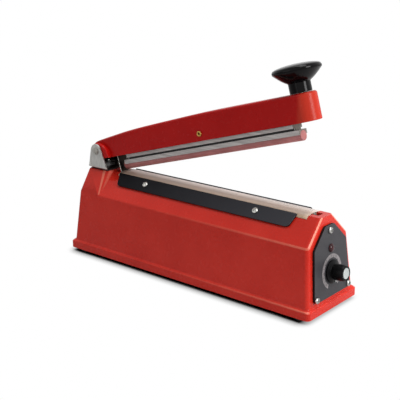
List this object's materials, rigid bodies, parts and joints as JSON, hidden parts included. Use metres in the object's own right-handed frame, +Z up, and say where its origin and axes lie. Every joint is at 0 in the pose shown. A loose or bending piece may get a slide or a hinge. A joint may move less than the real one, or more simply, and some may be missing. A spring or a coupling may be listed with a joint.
{
  "type": "hand sealer",
  "caption": "Hand impulse sealer for plastic bags: a box with a heated strip along its ridge, a sprung hinged arm with a press knob and rubber rod, and a timer dial on the end panel.",
  "frame": {"origin": "on the floor plane under the middle of the overall length and width, with the arm open", "axes": "+X towards the control panel and the free end of the arm, +Y across the width towards the far side of the picture, +Z up"},
  "size_m": [0.3122, 0.08, 0.2182],
  "materials": {
    "red_enamel": "gloss stoved enamel on a casting",
    "black_phenolic": "polished black phenolic",
    "black_abs": "fine satin black plastic",
    "black_anodised": "black anodised, fine brushed",
    "zinc_steel": "zinc plated sheet, satin",
    "bright_steel": "bright nickel plated",
    "dark_steel": "blued spring steel and oxidised laminations",
    "extruded_aluminium": "satin extrusion",
    "silicone": "moulded silicone, satin",
    "brass": "turned brass, slightly dull",
    "nichrome": "flat resistance ribbon, satin",
    "ptfe_cloth": "tan coated glass cloth, low sheen",
    "fibre_board": "pressed insulating board",
    "black_rubber": "matt moulded rubber",
    "grey_laminate": "satin dark grey printed panel",
    "red_lens": "clear red lens, unlit",
    "white_cap": "glossy white cap",
    "circuit_board": "green solder mask",
    "relay_case": "blue moulded case",
    "coil_tape": "yellow polyester tape over the winding",
    "copper_winding": "enamelled copper wire"
  },
  "bodies": {
    "sealer_body": {"housing": "red_enamel", "base_plate": "zinc_steel", "foot_1": "black_rubber", "foot_2": "black_rubber", "foot_3": "black_rubber", "foot_4": "black_rubber", "base_screw_1": "bright_steel", "base_screw_2": "bright_steel", "base_screw_3": "bright_steel", "base_screw_4": "bright_steel", "bracket_gasket": "black_rubber", "hinge_bracket": "zinc_steel", "bracket_screw_1": "bright_steel", "bracket_screw_2": "bright_steel", "hinge_pin": "bright_steel", "pin_clip": "dark_steel", "return_spring": "dark_steel", "insulation_bar": "fibre_board", "heating_ribbon": "nichrome", "ptfe_cloth": "ptfe_cloth", "clamp_strip_near": "black_anodised", "clamp_strip_far": "black_anodised", "clamp_screw_near_1": "bright_steel", "clamp_screw_near_2": "bright_steel", "clamp_screw_far_1": "bright_steel", "clamp_screw_far_2": "bright_steel", "terminal_front": "brass", "terminal_rear": "brass", "terminal_screw_front": "bright_steel", "terminal_screw_rear": "bright_steel", "end_panel": "grey_laminate", "panel_screw_1": "bright_steel", "panel_screw_2": "bright_steel", "panel_screw_3": "bright_steel", "indicator_lamp": "red_lens", "timer_pot": "zinc_steel", "pot_nut": "bright_steel", "timer_board": "circuit_board", "timer_relay": "relay_case", "transformer_core": "dark_steel", "primary_coil": "coil_tape", "secondary_coil": "copper_winding", "transformer_strap": "zinc_steel", "strap_screw_1": "bright_steel", "strap_screw_2": "bright_steel", "micro_switch": "black_abs", "switch_bracket": "zinc_steel", "cord_grommet": "black_rubber"},
    "arm": {"arm_casting": "red_enamel", "press_knob": "black_phenolic", "knob_screw": "bright_steel", "actuator_blade": "dark_steel", "blade_screw": "bright_steel", "frame_pin": "brass"},
    "rod_frame": {"rubber_frame": "extruded_aluminium", "silicone_rod": "silicone"},
    "timer_dial": {"timer_knob": "black_abs", "knob_cap": "white_cap", "pot_shaft": "bright_steel"},
    "plunger": {"switch_plunger": "red_lens"}
  },
  "joints": [
    {"name": "arm_hinge", "type": "hinge", "parent": "sealer_body", "child": "arm", "pos_m": [-0.1355, 0, 0.107], "axis": [0, 1, 0], "range_deg": [0, 13.4], "stiffness_Nm_per_rad": 2, "springref_deg": -34.38, "deforming": ["return_spring"]},
    {"name": "frame_rock", "type": "hinge", "parent": "arm", "child": "rod_frame", "pos_m": [0.00058, 0, 0.1432], "axis": [0, 1, 0], "range_deg": [0, 2.4]},
    {"name": "timer_dial_turn", "type": "hinge", "parent": "sealer_body", "child": "timer_dial", "pos_m": [0.13861, 0, 0.0375], "axis": [0.996, 0, 0.0895], "range_deg": [0, 300]},
    {"name": "switch_travel", "type": "slide", "parent": "sealer_body", "child": "plunger", "axis": [0, 0, -1], "range_m": [0, 0.0015]}
  ],
  "couplings": [
    {"joint": "frame_rock", "follows": "arm_hinge", "ratio": 0.17537},
    {"joint": "switch_travel", "follows": "arm_hinge", "m_per_rad": 0.0064}
  ]
}
